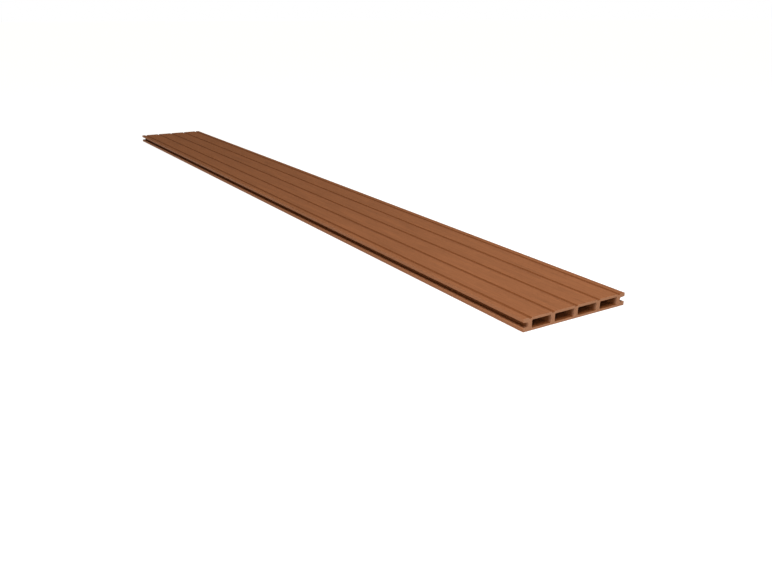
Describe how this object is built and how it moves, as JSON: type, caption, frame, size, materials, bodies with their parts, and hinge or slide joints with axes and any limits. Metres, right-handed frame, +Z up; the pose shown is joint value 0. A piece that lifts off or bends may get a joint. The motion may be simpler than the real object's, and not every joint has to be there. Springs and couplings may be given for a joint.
{
  "type": "decking board",
  "caption": "Hollow extruded wood-plastic composite decking board with through chambers, a slot along each long edge for hidden clips, and shallow lengthwise grooves in the tread.",
  "frame": {"origin": "middle of the flat underside, on the floor that the board lies on", "axes": "+X along the board, +Y across it, +Z up out of the grooved tread"},
  "size_m": [2.2, 0.225, 0.0225],
  "materials": {
    "composite": "matte"
  },
  "bodies": {
    "root": {"decking_board": "composite"}
  },
  "joints": []
}
